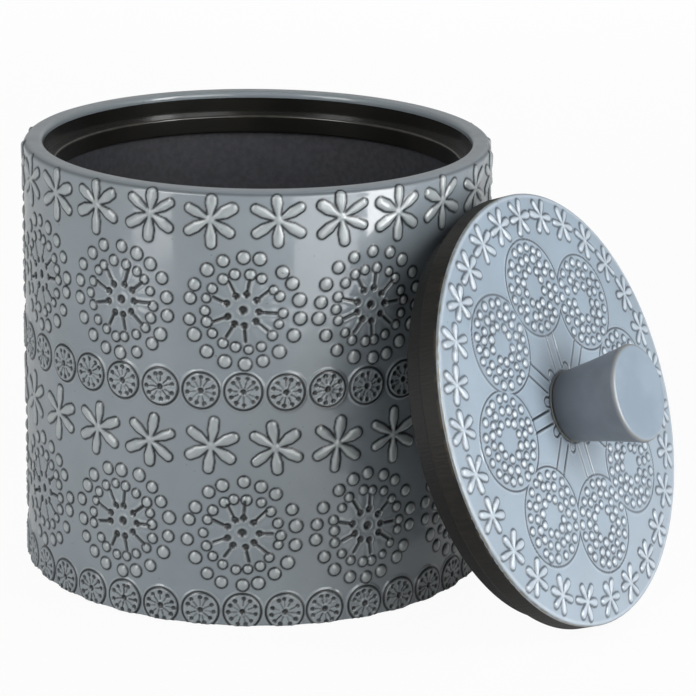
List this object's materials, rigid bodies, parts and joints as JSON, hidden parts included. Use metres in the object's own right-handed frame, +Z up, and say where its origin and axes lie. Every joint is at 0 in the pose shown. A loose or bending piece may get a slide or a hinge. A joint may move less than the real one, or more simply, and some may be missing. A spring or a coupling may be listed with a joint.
{
  "type": "cotton pad holder",
  "caption": "Round lidded jar for cotton pads: embossed glazed wall, dark cup with a lid ledge, and an inset lid with a flared knob leaning on the wall.",
  "frame": {"origin": "centre of the jar's underside, on the surface it stands on", "axes": "+Z up along the jar's axis, out of its mouth; -Y is the front, and the lid leans on the wall 59 degrees round from the front towards +X"},
  "size_m": [0.162, 0.146, 0.1058],
  "materials": {
    "sleeve": "gloss",
    "cup": "matt",
    "ledge": "gloss",
    "pad": "matt",
    "lid_edge": "satin",
    "lid_face": "gloss",
    "plug": "satin",
    "knob": "satin",
    "steel": "satin"
  },
  "bodies": {
    "jar": {"inner_cup": "cup", "outer_sleeve": "sleeve", "ledge_ring": "ledge", "base_pad": "pad", "wall_flowers": "sleeve", "upper_rosettes": "sleeve", "lower_rosettes": "sleeve", "wall_medallions": "sleeve"},
    "lid": {"lid_core": "lid_edge", "lid_face": "lid_face", "lid_plug": "plug", "lid_flowers": "lid_face", "lid_beads": "lid_face", "lid_lines": "lid_face", "knob": "knob", "knob_screw": "steel", "knob_washer": "steel"}
  },
  "joints": [
    {"name": "lid_pull", "type": "slide", "parent": "jar", "child": "lid", "axis": [0.7896, -0.505, 0.3486], "range_m": [0, 0.12]}
  ]
}
